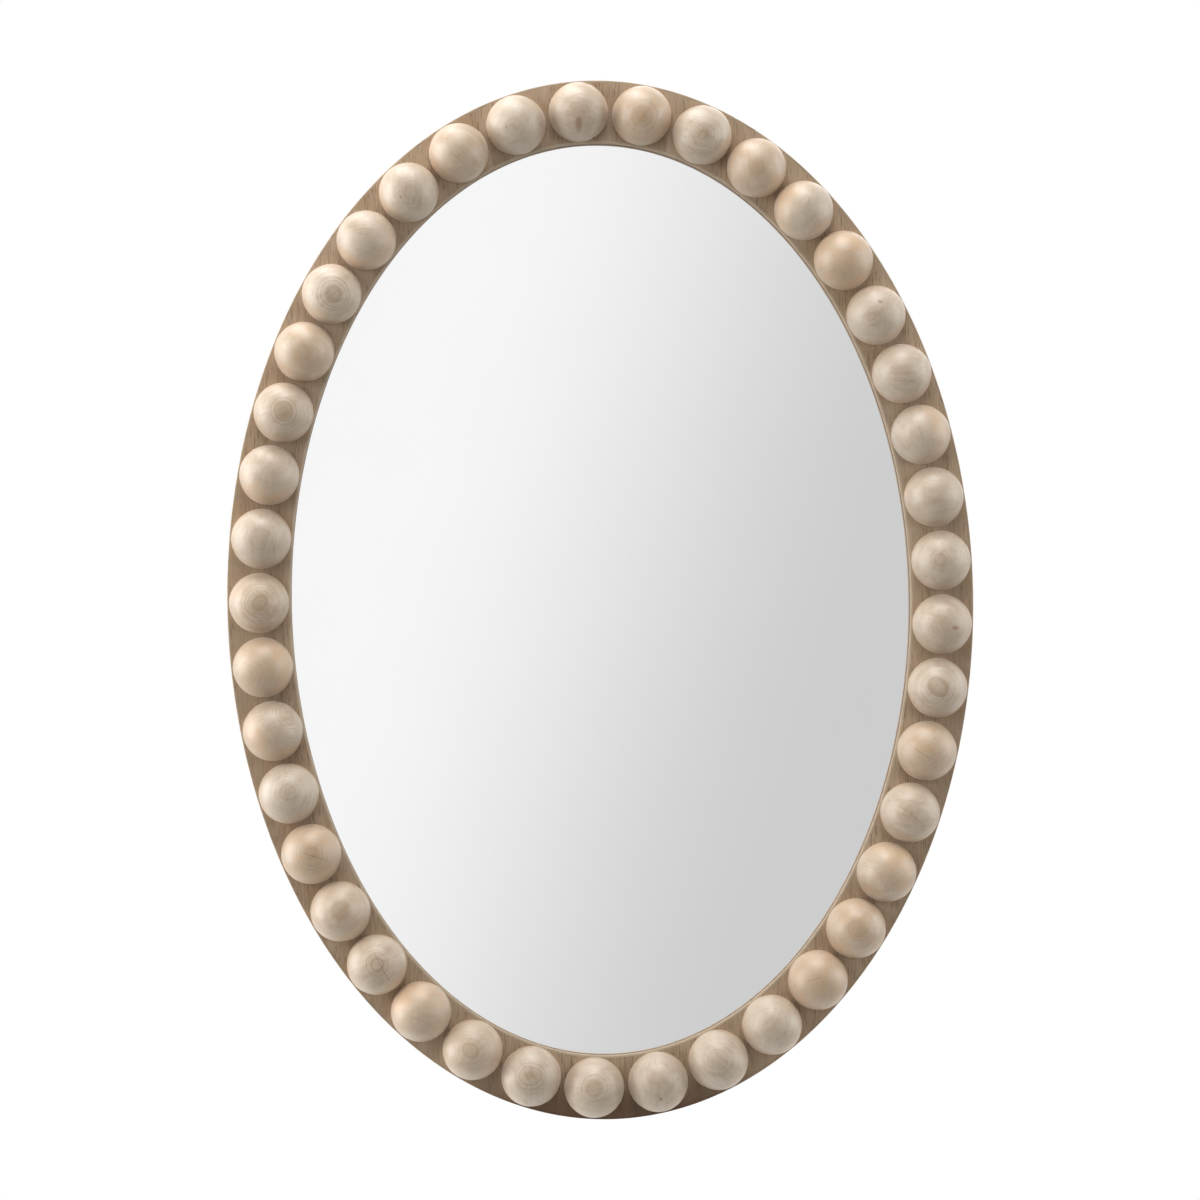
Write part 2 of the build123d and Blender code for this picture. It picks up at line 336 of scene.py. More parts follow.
def bead_wood():
    """Pale turned wood with a satin finish, which each half ball shows cut from its own blank."""
    finish = Finish(
        "turned_wood",
        Specular_IOR_Level=0.8,
        Sheen_Weight=0.65,
        Sheen_Roughness=0.5,
        Sheen_Tint=(1.0, 0.97, 0.92, 1.0),
        Coat_Roughness=0.5,
    )
    blank = finish.kept("blank")
    tree = finish.kept("tree")
    look = finish.kept("look")
    warmth, ring_strength, core = (look.part(axis) for axis in "XYZ")
    far = tree.scaled(400, 400, 400)
    across, along, deep = (blank.part(axis) for axis in "YXZ")

    # Growth rings: the layers of the tree, which bend a little across the blank
    swell = finish.noise(blank.scaled(0.05, 0.06, 0.06).plus(far), detail=1)
    layer = deep + across * across / LAYER_BEND + (swell - 0.5) * 1.6
    ring_place = finish.vector(tree.part("Y") * 90.0, tree.part("Z") * 90.0, layer)
    year = finish.noise(ring_place.scaled(1, 1, 0.75), detail=1)
    turn_of_year = (layer / RING_GAP + tree.part("X") * 7.0 + (year - 0.5) * 1.5).fraction()
    line = turn_of_year.between(0.55, 0.9) * turn_of_year.between(0.92, 1.0, 1.0, 0.0)
    near_crown = layer.between(13.0, 22.5, 0.22, 1.0)
    rings = line * near_crown * year.between(0.3, 0.7, 0.35, 1.0)
    heart = layer.between(22.6, 24.9)

    # The grain, from broad zones to single fibres and flecks
    zone = finish.noise(ring_place.scaled(1, 1, 0.2), detail=1)
    figure = finish.noise(blank.scaled(0.07, 0.16, 0.11).plus(far), detail=3, distortion=0.8)
    streak = finish.noise(blank.scaled(0.035, 0.45, 0.3).plus(far), detail=3, roughness=0.6)
    fibre = finish.noise(blank.scaled(0.09, 1.6, 1.4).plus(far), detail=3, roughness=0.65)
    fleck = finish.noise(blank.scaled(0.5, 3.4, 3.4).plus(far), detail=1)

    # The fine circle that the lathe left, and the painted warm shade round the foot
    from_circle = (across * across + along * along).root() - finish.kept("lathe").part("X")
    mark = from_circle.size().between(0.2, 0.55, 1.0, 0.0) * figure.between(0.4, 0.6, 0.35, 1.0)
    rim = deep.between(2.0, 17.0, 1.0, 0.0)

    ivory, fawn, brown = (0.71, 0.58, 0.44), (0.43, 0.29, 0.17), (0.3, 0.175, 0.09)
    amber = (0.73, 0.485, 0.275)
    depth_of_tone = (
        warmth * 0.7
        + (zone - 0.5) * 1.1
        + (figure - 0.5) * 2.3
        + (streak - 0.5) * 1.1
        + (fibre - 0.5) * 0.7
        + rings * ring_strength * 0.75
        + heart * (core + 0.3)
    )
    colour = finish.mix(depth_of_tone.between(-0.7, 1.7), ivory, fawn)
    colour = finish.mix(warmth * figure.between(0.25, 0.7, 0.3, 1.1), colour, amber)
    # Painted shade and bounce light: the foot of each ball goes amber, as if lit warm by the board.
    colour = finish.mix(rim * figure.between(0.3, 0.7, 0.3, 0.9), colour, amber)
    colour = finish.mix(fleck.between(0.62, 0.78) * 0.35 + mark * 0.3, colour, brown)

    # A brown mark and a fine split, both kept as a place counted in their own sizes
    knot_distance = finish.kept("knot").length() + (figure - 0.5) * 0.9 + (fibre - 0.5) * 0.6
    knot = knot_distance.between(0.5, 1.3, 1.0, 0.0)
    colour = finish.mix(knot * 0.75, colour, (0.33, 0.16, 0.06))
    from_split = finish.kept("split")
    split = (from_split.part("Y") + (swell - 0.5) * 3.0).size().between(0.4, 1.0, 1.0, 0.0)
    split = split * from_split.part("X").size().between(0.75, 1.05, 1.0, 0.0)
    colour = finish.mix(split * 0.6, colour, (0.25, 0.15, 0.08))

    finish.give("Base Color", colour)
    finish.give("Roughness", 0.42 + (fibre - 0.5) * 0.18 + (figure - 0.5) * 0.12 + rings * 0.05)
    finish.give("Coat Weight", figure.between(0.25, 0.75, 0.4, 0.7))
    relief = (fibre - 0.5) * 0.6 + fleck * 0.35 - knot * 1.2 - split * 2.0 - mark * 1.5
    finish.bump(relief, 0.05)
    return finish


def painted_foot_shade(finish, colour, cloud):
    """The colour with painted shade: dark brown towards the foot of the mirror."""
    level = finish.place_in_mm().part("Z") + (cloud - 0.5) * FOOT_SHADE_WANDER
    painted_shade = level.between(*FOOT_SHADE, 1.0, 0.0)
    # Painted shade: the colour goes dark brown towards the bottom.
    return finish.mix(painted_shade * 0.94, colour, (0.13, 0.065, 0.028))


def veneer():
    """Greyed oak veneer with its grain upright all the way round, as on the front of the board."""
    finish = Finish("greyed_oak_veneer", Specular_IOR_Level=0.6)
    place = finish.place_in_mm()
    drift = finish.noise(place.scaled(0.006, 0.0, 0.004), detail=2)
    wander = finish.vector((drift - 0.5) * 14.0, 0.0, 0.0)
    grown = place.plus(wander)
    band = finish.noise(grown.scaled(0.085, 0.085, 0.0035), detail=3, roughness=0.6)
    stripe = finish.noise(grown.scaled(0.5, 0.5, 0.012), detail=2, roughness=0.6)
    fibre = finish.noise(grown.scaled(1.9, 1.9, 0.04), detail=2, roughness=0.6)
    dash = finish.noise(grown.scaled(1.7, 1.7, 0.09), detail=1)
    dash = dash.between(0.56, 0.68) * band.between(0.35, 0.62, 0.4, 1.0)
    cloud = finish.noise(place.scaled(0.02, 0.02, 0.012), detail=3)
    rust = finish.noise(place.scaled(0.06, 0.06, 0.03).plus(ELSEWHERE), detail=3)
    grey, taupe, umber = (0.67, 0.52, 0.365), (0.465, 0.325, 0.205), (0.145, 0.082, 0.043)
    tone = (band - 0.5) * 0.8 + (stripe - 0.5) * 0.6
    tone = tone + (fibre - 0.5) * 1.2 + (cloud - 0.5) * 0.9
    colour = finish.mix(tone.between(-0.6, 0.6), grey, taupe)
    colour = finish.mix(rust.between(0.45, 0.75) * 0.5, colour, (0.47, 0.3, 0.17))
    # Painted shade at the foot of the board.
    colour = painted_foot_shade(finish, colour, cloud)
    colour = finish.mix(dash * 0.6, colour, umber)
    finish.give("Base Color", colour)
    finish.give("Roughness", 0.52 + (fibre - 0.5) * 0.2 + dash * 0.15)
    finish.bump(fibre * 0.4 - dash, 0.12)
    return finish


def banding(name, shade_height=None):
    """The wood strip glued along the board's edges, with its grain along it. Beside the glass its
    front corner is paler from wear and from a painted highlight, and its edge, up to a height in
    mm, gets painted shade in dark brown. The outer strip gets the painted shade at the foot
    instead."""
    finish = Finish(name, Specular_IOR_Level=0.4)
    along = finish.kept("along")
    long_grain = finish.noise(along.scaled(0.012, 0.5, 0.5), detail=3, roughness=0.6)
    fibre = finish.noise(along.scaled(0.05, 2.2, 2.2), detail=2)
    cloud = finish.noise(along.scaled(0.018, 0.03, 0.03), detail=2)
    tone = (long_grain - 0.5) * 1.0 + (fibre - 0.5) * 0.7 + (cloud - 0.5) * 0.8
    colour = finish.mix(tone.between(-0.6, 0.6), (0.61, 0.475, 0.335), (0.44, 0.315, 0.2))
    flaw = finish.noise(along.scaled(0.09, 1.2, 1.2).plus(ELSEWHERE), detail=1)
    flaw = flaw.between(0.64, 0.76)
    colour = finish.mix(flaw * 0.6, colour, (0.2, 0.12, 0.07))
    if shade_height is None:
        # The outer strip gets the painted shade at the foot too.
        colour = painted_foot_shade(finish, colour, cloud)
    else:
        # The front corner is paler partly from wear and partly from a painted highlight along it.
        worn_and_highlit = along.part("Y").between(FRONT / MM - 1.2, FRONT / MM - 0.4)
        pale = worn_and_highlit * long_grain.between(0.3, 0.6, 0.3, 0.8)
        colour = finish.mix(pale, colour, (0.74, 0.61, 0.46))
        # Painted shade: the edge goes dark brown next to the glass.
        painted_shade = (along.part("Y") + fibre * 0.6).between(shade_height, shade_height + 0.6, 1.0, 0.0)
        colour = finish.mix(painted_shade * 0.85, colour, (0.17, 0.095, 0.045))
    finish.give("Base Color", colour)
    finish.give("Roughness", 0.55 + (fibre - 0.5) * 0.2)
    finish.bump(fibre * 0.5 - flaw, 0.1)
    return finish


def silvering():
    """The mirror's face: a clean silvered surface with the faintest haze."""
    finish = Finish("silvered_glass", Metallic=1.0, Specular_IOR_Level=0.5)
    place = finish.place_in_mm()
    haze = finish.noise(place.scaled(0.012, 0.012, 0.012), detail=3)
    finish.give("Base Color", finish.mix(haze, (0.925, 0.93, 0.93), (0.945, 0.95, 0.947)))
    finish.give("Roughness", haze.between(0.3, 0.8, 0.0, 0.012))
    return finish


def ground_glass():
    """The ground edge of the glass."""
    finish = Finish("ground_glass_edge", Roughness=0.45, Specular_IOR_Level=0.6)
    place = finish.place_in_mm()
    grit = finish.noise(place.scaled(1.3, 1.3, 1.3), detail=2)
    finish.give("Base Color", finish.mix(grit, (0.42, 0.56, 0.5), (0.6, 0.71, 0.66)))
    finish.bump(grit, 0.08)
    return finish


def back_paint():
    """The grey paint that guards the silvering."""
    finish = Finish("mirror_back_paint", Specular_IOR_Level=0.3)
    place = finish.place_in_mm()
    cloud = finish.noise(place.scaled(0.05, 0.05, 0.05), detail=4)
    finish.give("Base Color", finish.mix(cloud, (0.2, 0.22, 0.23), (0.27, 0.29, 0.3)))
    finish.give("Roughness", 0.5 + cloud * 0.2)
    return finish


def hardboard():
    """Brown hardboard: pressed fibres, a little shine on the crests."""
    finish = Finish("hardboard", Specular_IOR_Level=0.4)
    place = finish.place_in_mm()
    felt = finish.noise(place.scaled(0.9, 0.9, 0.9), detail=5, roughness=0.65, distortion=0.6)
    strand = finish.noise(place.scaled(0.5, 2.4, 1.4), detail=2, distortion=1.2)
    cloud = finish.noise(place.scaled(0.011, 0.011, 0.011), detail=3)
    tone = (felt - 0.5) * 1.3 + (strand - 0.5) * 0.7 + (cloud - 0.5) * 0.4
    colour = finish.mix(tone.between(-0.5, 0.5), (0.33, 0.215, 0.13), (0.17, 0.1, 0.058))
    pale = strand.between(0.66, 0.78) * 0.35
    finish.give("Base Color", finish.mix(pale, colour, (0.46, 0.33, 0.21)))
    finish.give("Roughness", 0.58 + (felt - 0.5) * 0.3)
    finish.bump(felt * 0.7 + strand * 0.3, 0.12)
    return finish


def zinc_plate():
    """Bright zinc plate with a faint blue cast, fine scratches and dulled patches."""
    finish = Finish("zinc_plate", Metallic=1.0)
    place = finish.place_in_mm()
    spangle = finish.noise(place.scaled(0.7, 0.7, 0.7), detail=3)
    scratch = finish.noise(place.scaled(1.5, 9.0, 9.0), detail=2, distortion=0.4)
    cloud = finish.noise(place.scaled(0.18, 0.18, 0.18), detail=3)
    tone = (spangle - 0.5) * 0.6 + (cloud - 0.5) * 0.9
    colour = finish.mix(tone.between(-0.5, 0.5), (0.56, 0.57, 0.59), (0.42, 0.425, 0.43))
    finish.give("Base Color", colour)
    finish.give("Roughness", 0.27 + cloud * 0.14 + scratch.between(0.55, 0.75) * 0.16)
    finish.bump(scratch * 0.7 + spangle * 0.3, 0.02)
    return finish


def bumper_rubber():
    """Soft black moulded rubber with a fine grey bloom."""
    finish = Finish("moulded_rubber", Specular_IOR_Level=0.35)
    place = finish.place_in_mm()
    grain = finish.noise(place.scaled(5.0, 5.0, 5.0), detail=2)
    bloom = finish.noise(place.scaled(0.35, 0.35, 0.35), detail=3)
    colour = finish.mix(bloom.between(0.35, 0.75), (0.032, 0.032, 0.034), (0.085, 0.083, 0.08))
    finish.give("Base Color", colour)
    finish.give("Roughness", 0.68 + bloom * 0.18)
    finish.bump(grain, 0.04)
    return finish


def liner_foam():
    """The thin foam sheet behind the glass."""
    finish = Finish("liner_sheet", Specular_IOR_Level=0.2)
    place = finish.place_in_mm()
    cell = finish.noise(place.scaled(1.6, 1.6, 1.6), detail=3)
    finish.give("Base Color", finish.mix(cell, (0.62, 0.6, 0.56), (0.76, 0.745, 0.7)))
    finish.give("Roughness", 0.8 + cell * 0.15)
    finish.bump(cell, 0.15)
    return finish


def pin_wood():
    """The straight-grained wood of the locating pins."""
    finish = Finish("pin_wood", Specular_IOR_Level=0.3)
    place = finish.place_in_mm()
    fibre = finish.noise(place.scaled(2.5, 0.08, 2.5), detail=3)
    finish.give("Base Color", finish.mix(fibre, (0.63, 0.5, 0.36), (0.47, 0.34, 0.22)))
    finish.give("Roughness", 0.6 + fibre * 0.15)
    finish.bump(fibre, 0.1)
    return finish


# ---- The camera: a little left of and below the middle, and not quite upright ----
CAMERA_LEFT = 0.13
CAMERA_BELOW = 0.05
CAMERA_DISTANCE = 2.3  # in front of the board
CAMERA_TURN = radians(2.0)
CAMERA_ROLL = radians(0.86)
VIEW_WIDTH = 1.0005  # what the picture takes in at the board's face
FRAMING = (-0.0018, -0.0012)  # moves the whole picture, in shares of its width
camera_pitch = atan2(CAMERA_BELOW, CAMERA_DISTANCE)
let_go()
bpy.ops.object.camera_add(location=(-CAMERA_LEFT, -FRONT - CAMERA_DISTANCE, -CAMERA_BELOW))
camera = bpy.context.object
upright = Matrix.Rotation(pi / 2 + camera_pitch, 3, "X")
aimed = Matrix.Rotation(-CAMERA_TURN, 3, "Z") @ upright @ Matrix.Rotation(-CAMERA_ROLL, 3, "Z")
camera.rotation_euler = aimed.to_euler()
camera.data.sensor_width = 36.0
camera.data.lens = camera.data.sensor_width * CAMERA_DISTANCE / VIEW_WIDTH
shift_metres = CAMERA_LEFT - CAMERA_DISTANCE * tan(CAMERA_TURN)
camera.data.shift_x = shift_metres / VIEW_WIDTH + FRAMING[0]
camera.data.shift_y = FRAMING[1]
bpy.context.scene.camera = camera
bpy.context.scene.view_settings.view_transform = "Standard"


# ---- The front: board, banding and glass, each section carried round the oval ----
def oval_size(reach):
    """Half the width and half the height of the oval at this reach."""
    return OPENING_HALF_WIDTH + reach, OPENING_HALF_HEIGHT + reach


def round_size(radius):
    return radius, radius


def carried_round(section, ring, size=oval_size, steps=OVAL_STEPS):
    """A section, as (reach, height) points, carried round the oval, or round a circle as (radius,
    height) points. A ring's section closes on itself, and a disc's two ends are filled."""
    piece = start(
        bpy.ops.mesh.primitive_circle_add, vertices=steps, radius=1.0, rotation=(pi / 2, 0, 0)
    )
    open_up(piece)
    reach, height = section[0]
    wide, tall = size(reach)
    widen(x=wide, z=tall)
    move(y=-height)
    if not ring:
        bpy.ops.mesh.edge_face_add()
        bpy.ops.mesh.select_mode(type="EDGE")
    for reach, next_height in section[1:] + section[:1] if ring else section[1:]:
        bpy.ops.mesh.extrude_edges_move()
        next_wide, next_tall = size(reach)
        widen(x=next_wide / wide, z=next_tall / tall)
        move(y=height - next_height)
        wide, tall, height = next_wide, next_tall, next_height
    if not ring:
        bpy.ops.mesh.edge_face_add()
    stop_editing(merge=SEAM)
    return piece


def round_corner(reach, height, size, towards, steps=4):
    """Points of a small quarter round, from (reach, height) along the two ways it joins."""
    (first_x, first_y), (last_x, last_y) = towards
    points = []
    for step in range(steps + 1):
        turn = pi / 2 * step / steps
        x = reach + size * (first_x * (1 - sin(turn)) + last_x * (1 - cos(turn)))
        y = height + size * (first_y * (1 - sin(turn)) + last_y * (1 - cos(turn)))
        points.append((x, y))
    return points


ALONG_PER_RADIAN = 360.0  # mm of strip for each radian that it turns round the oval


def along_the_oval(piece):
    """Keeps how far along its strip each corner of a face is, and how high and how far out. The
    strip's butt joint is at the bottom."""
    mesh = piece.data
    kept = mesh.attributes.new("along", "FLOAT_VECTOR", "CORNER")
    for face in mesh.polygons:
        middle = atan2(face.center.x, face.center.z)
        for corner in face.loop_indices:
            x, y, z = mesh.vertices[mesh.loops[corner].vertex_index].co / MM
            turn = (atan2(x, z) - middle + pi) % (2 * pi) - pi + middle
            kept.data[corner].vector = (turn * ALONG_PER_RADIAN, -y, hypot(x, z))


board_reach = BAND_WIDTH - STRIP
board = carried_round(
    [
        (STRIP, LIP),
        (STRIP, FRONT),
        (board_reach, FRONT),
        (board_reach, BOARD_BACK),
        (REBATE, BOARD_BACK),
        (REBATE, LIP),
    ],
    ring=True,
)
board_finish = veneer()
hand_over(board, "veneered_board", board_finish, "mirror", ["frame_board"])

outer_finish = banding("outer_banding")
inner_finish = banding("inner_banding", shade_height=(LIP + GLASS_SHADE_HEIGHT) / MM)
outer_banding = carried_round(
    [(board_reach, BOARD_BACK), (board_reach, FRONT)]
    + round_corner(BAND_WIDTH, FRONT, STRIP_EASE, ((-1, 0), (0, -1)))
    + [(BAND_WIDTH, BOARD_BACK)],
    ring=True,
)
along_the_oval(outer_banding)
hand_over(
    outer_banding,
    "outer_banding",
    outer_finish,
    "mirror",
    ["outer_edge_strip"],
)

inner_banding = carried_round(
    [(STRIP, LIP), (0.0, LIP)]
    + round_corner(0.0, FRONT, STRIP_EASE, ((0, -1), (1, 0)))
    + [(STRIP, FRONT)],
    ring=True,
)
along_the_oval(inner_banding)
hand_over(
    inner_banding,
    "inner_banding",
    inner_finish,
    "mirror",
    ["inner_edge_strip"],
)

glass = carried_round(
    [
        (GLASS_REACH - GLASS_BEVEL, GLASS_BACK),
        (GLASS_REACH, GLASS_BACK + GLASS_BEVEL),
        (GLASS_REACH, LIP - GLASS_BEVEL),
        (GLASS_REACH - GLASS_BEVEL, LIP),
    ],
    ring=False,
)
hand_over(glass, "silvered_glass", silvering(), "mirror", ["mirror_glass"])
for extra in (ground_glass(), back_paint()):
    glass.data.materials.append(extra.material)
MIRROR_SIDE, GROUND_EDGE, PAINTED_SIDE = range(3)
for face in glass.data.polygons:
    if face.normal.y < -0.9:
        face.material_index = MIRROR_SIDE
    elif face.normal.y > 0.9:
        face.material_index = PAINTED_SIDE
    else:
        face.material_index = GROUND_EDGE

# ---- The half balls ----
# These set single ones apart, by their numbers clockwise from the top. First, how warm the wood
# is: a number below zero makes it cooler.
WARMTH = {
    1: 0.2, 2: 0.65, 3: -0.15, 4: 0.4, 5: -0.15, 6: 0.6, 8: -0.2, 9: -0.25, 10: 0.15,
    12: 0.1, 14: 0.4, 16: 0.4, 17: 0.65, 18: 0.5, 19: -0.35, 20: -0.25, 24: 0.3,
    25: 0.35, 26: 0.15, 27: 0.2, 28: 0.5, 29: -0.2, 30: 0.15, 31: 0.45, 32: 0.25,
    33: -0.1, 35: 0.1, 36: 0.35, 38: 0.05, 39: -0.25, 40: 0.3, 41: -0.15,
}
# How strongly its growth rings show
RINGS = {
    2: 1.3, 3: 1.5, 13: 1.2, 16: 1.2, 17: 1.2, 22: 1.3, 23: 1.2, 24: 1.4,
    26: 1.4, 28: 1.5, 29: 1.1, 30: 1.2, 32: 1.3, 35: 1.6, 37: 1.4,
}
# How dark its heart is
DARK_HEARTS = {
    2: 0.6, 4: 0.45, 6: 0.5, 16: 0.4, 17: 0.6, 18: 0.3, 25: 0.3,
    27: 0.35, 28: 0.4, 31: 0.3, 32: 0.3, 35: 0.3, 36: 0.25,
}
# How many degrees the heart of its blank leans away from the front
LEANS = {5: 38, 6: 30, 9: 40, 16: 55, 25: 45, 30: 50, 31: 45, 34: 40, 38: 35}
# The radius in mm of a fine circle that the lathe left round its crown
LATHE_MARKS = {2: 13.0, 3: 15.0, 13: 14.0, 19: 13.5, 20: 12.0, 29: 15.5, 32: 12.5, 37: 13.0}
# A brown mark: how far right of and above its middle in mm, width, height and slope
KNOTS = {
    1: (-0.6, -13.5, 3.0, 5.8, 0),
    7: (0.5, 8.5, 2.2, 1.3, -30),
    12: (7.2, -3.6, 3.2, 2.1, 0),
    21: (0.3, -11.0, 1.4, 1.6, 0),
    39: (-6.5, -7.5, 1.0, 1.1, 0),
    41: (-8.6, -5.4, 0.8, 0.8, 0),
}
# A fine split: how far right of and above its middle in mm, half length, width and slope
SPLITS = {
    14: (-8.0, -1.0, 8.0, 0.4, -35),
    18: (-6.0, 3.0, 6.0, 0.35, 20),
    26: (4.7, 0.0, 15.0, 0.5, -62),
    28: (5.5, -1.5, 13.0, 0.5, -20),
}
# Chips in the rim: how far right of and above its middle in mm, and width
CHIPS = {1: [(12.4, -21.4, 3.6), (-18.6, -16.4, 1.8)], 36: [(19.0, -16.0, 2.2)]}
# So far off the ball that nothing of it shows
NO_MARK = (90, 90, 1, 1, 0)
NO_CIRCLE = 90.0


def half_ball():
    """One half ball with its flat face on the board: eased rim and a blind hole for the pin."""
    ball = start(
        bpy.ops.mesh.primitive_uv_sphere_add,
        segments=96,
        ring_count=48,
        radius=BEAD_RADIUS,
        rotation=(pi / 2, 0, 0),
    )
    open_up(ball)
    bpy.ops.mesh.bisect(
        plane_co=(0, 0, 0), plane_no=(0, 1, 0), use_fill=True, clear_outer=True, threshold=SEAM
    )
    pick("EDGE", lambda point: abs(point.y) < SEAM and hypot(point.x, point.z) > BEAD_RADIUS * 0.99)
    bpy.ops.mesh.bevel(offset=BEAD_EASE, segments=3, affect="EDGES")
    flat_radius = BEAD_RADIUS - BEAD_EASE
    pick("FACE", lambda face: face.normal.y > 0.99 and face.area > flat_radius**2)
    bpy.ops.mesh.inset(thickness=flat_radius - PIN_HOLE_RADIUS)
    bpy.ops.mesh.extrude_region_move(TRANSFORM_OT_translate={"value": (0, -PIN_HOLE_DEPTH, 0)})
    stop_editing(merge=SEAM)
    return ball


def chip(ball, right, up, width):
    """Breaks a small splinter out of the rim of a ball."""
    round_rim = atan2(up, right)
    splinter = start(
        bpy.ops.mesh.primitive_cone_add,
        vertices=5,
        radius1=width / 2,
        radius2=width / 5,
        depth=width * 1.6,
        location=(right, -width * 0.35, up),
        rotation=(pi / 2, 0.5 - round_rim, 0),
    )
    open_up(splinter)
    bpy.ops.mesh.subdivide(number_cuts=2, fractal=0.4, seed=3)
    stop_editing()
    cut_away(ball, splinter)


def from_mark(place, right, up, width, height, slope):
    """How far a point of a ball is from a mark on its face, counted in the mark's own sizes."""
    x, z = place.x - right, place.z - up
    turn = radians(slope)
    return (
        (x * cos(turn) + z * sin(turn)) / width,
        (z * cos(turn) - x * sin(turn)) / height,
        0.0,
    )


# The blanks' hearts all face about this point in front of the mirror, so they sit a little inwards.
BLANKS_FACE = Vector((-0.13, -2.3, -0.05))


def give_grain(ball, number, middle, draw):
    """Keeps how the ball lies in its blank, and the marks that set it apart."""
    lean = radians(LEANS.get(number, draw.uniform(0, 6)))
    growth = Vector((sin(lean), -cos(lean), 0.0))
    growth.rotate(Matrix.Rotation(draw.uniform(0, 2 * pi), 3, "Y"))
    growth.rotate(Vector((0.0, -1.0, 0.0)).rotation_difference(BLANKS_FACE - middle))
    fibre_way = growth.orthogonal().normalized()
    fibre_way.rotate(Matrix.Rotation(draw.uniform(0, pi), 3, growth))
    third_way = growth.cross(fibre_way)
    tree = [draw.random() for _ in range(3)]
    look = (
        WARMTH.get(number, 0.0) + draw.uniform(-0.12, 0.12),
        RINGS.get(number, draw.uniform(0.2, 0.7)),
        DARK_HEARTS.get(number, 0.0),
    )
    lathe = (LATHE_MARKS.get(number, NO_CIRCLE), 0, 0)
    knot = KNOTS.get(number, NO_MARK)
    split = SPLITS.get(number, NO_MARK)
    places = [vertex.co / MM for vertex in ball.data.vertices]
    blank = [(p.dot(fibre_way), p.dot(third_way), p.dot(growth)) for p in places]
    keep_vectors(ball, "blank", blank)
    keep_vectors(ball, "knot", [from_mark(p, *knot) for p in places])
    keep_vectors(ball, "split", [from_mark(p, *split) for p in places])
    for name, vector in (("tree", tree), ("look", look), ("lathe", lathe)):
        keep_vectors(ball, name, [vector] * len(places))


bead_finish = bead_wood()
pattern = half_ball()
grain_draw = random.Random(7)
for number in range(1, BEAD_COUNT + 1):
    node = f"bead_{number:02d}"
    low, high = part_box(node)
    middle = Vector(((low.x + high.x) / 2, high.y, (low.z + high.z) / 2))
    ball = twin(pattern)
    for right, up, width in CHIPS.get(number, ()):
        chip(ball, right * MM, up * MM, width * MM)
    give_grain(ball, number, middle, grain_draw)
    ball.data.transform(Matrix.Translation(middle))
    hand_over(ball, f"half_ball_{number:02d}", bead_finish, "mirror", [node])
bpy.data.objects.remove(pattern)

# ---- The back: hardboard, screws, hangers and bumpers ----
backing = carried_round(
    [
        (BACKING_REACH - BOARD_EASE, BACKING_FRONT),
        (BACKING_REACH, BACKING_FRONT - BOARD_EASE),
        (BACKING_REACH, BACKING_BACK + BOARD_EASE),
        (BACKING_REACH - BOARD_EASE, BACKING_BACK),
    ],
    ring=False,
)
hand_over(backing, "hardboard_back", hardboard(), "mirror", ["backing_board"])

HEAD_RADIUS = 3.5 * MM
HEAD_RIM = 0.1 * MM
SHANK_RADIUS = 1.75 * MM
POINT_RADIUS = 0.2 * MM
POINT_LENGTH = 3 * MM
FLAT_SCREW_LENGTH = 10 * MM
DOME_SCREW_LENGTH = 12 * MM  # under its head
DOME_HEIGHT = 2.2 * MM
DOME_TURNS = (8, 18, 30, 43, 56, 70, 82)  # where the dome's rings lie, in degrees from its top
SCREW_STEPS = 40
RECESS_WIDTH = 3.2 * MM
RECESS_DEPTH = 1.2 * MM
RECESS_SLOT = 0.8 * MM
RECESS_FLOOR = 0.72  # its floor's share of its size at the top


def cross_cut(screw, head_top):
    """Cuts the cross recess into a screw's head, with walls that draw in towards its floor."""
    for length, breadth in ((RECESS_WIDTH, RECESS_SLOT), (RECESS_SLOT, RECESS_WIDTH)):
        cutter = start(bpy.ops.mesh.primitive_cube_add, size=1.0, location=(0, head_top, 0))
        open_up(cutter)
        widen(x=length, y=2 * RECESS_DEPTH, z=breadth, about=(0, head_top, 0))
        pick("FACE", lambda face: face.normal.y < -0.9)
        widen(x=RECESS_FLOOR, z=RECESS_FLOOR, about=(0, head_top - RECESS_DEPTH, 0))
        stop_editing()
        cut_away(screw, cutter)


def countersunk_screw():
    """Flush with its seat at Y 0, which faces the wall."""
    screw = carried_round(
        [
            (HEAD_RADIUS - HEAD_RIM, 0.0),
            (HEAD_RADIUS, HEAD_RIM),
            (SHANK_RADIUS, HEAD_RADIUS - SHANK_RADIUS + HEAD_RIM),
            (SHANK_RADIUS, FLAT_SCREW_LENGTH - POINT_LENGTH),
            (POINT_RADIUS, FLAT_SCREW_LENGTH),
        ],
        ring=False,
        size=round_size,
        steps=SCREW_STEPS,
    )
    cross_cut(screw, 0.0)
    return screw


def dome_screw():
    """Its domed head stands on its seat at Y 0."""
    dome = [
        (HEAD_RADIUS * sin(radians(turn)), -DOME_HEIGHT * cos(radians(turn)))
        for turn in DOME_TURNS
    ]
    under = [
        (HEAD_RADIUS, 0.0),
        (SHANK_RADIUS, 0.0),
        (SHANK_RADIUS, DOME_SCREW_LENGTH - POINT_LENGTH),
        (POINT_RADIUS, DOME_SCREW_LENGTH),
    ]
    screw = carried_round(dome + under, ring=False, size=round_size, steps=SCREW_STEPS)
    cross_cut(screw, DOME_HEIGHT)
    return screw


def copy_to(pattern, x, height, z, turn=0.0):
    """A copy of the pattern, turned about its axis and moved to its place."""
    piece = twin(pattern)
    piece.rotation_euler = (0, turn, 0)
    piece.location = (x, -height, z)
    return piece


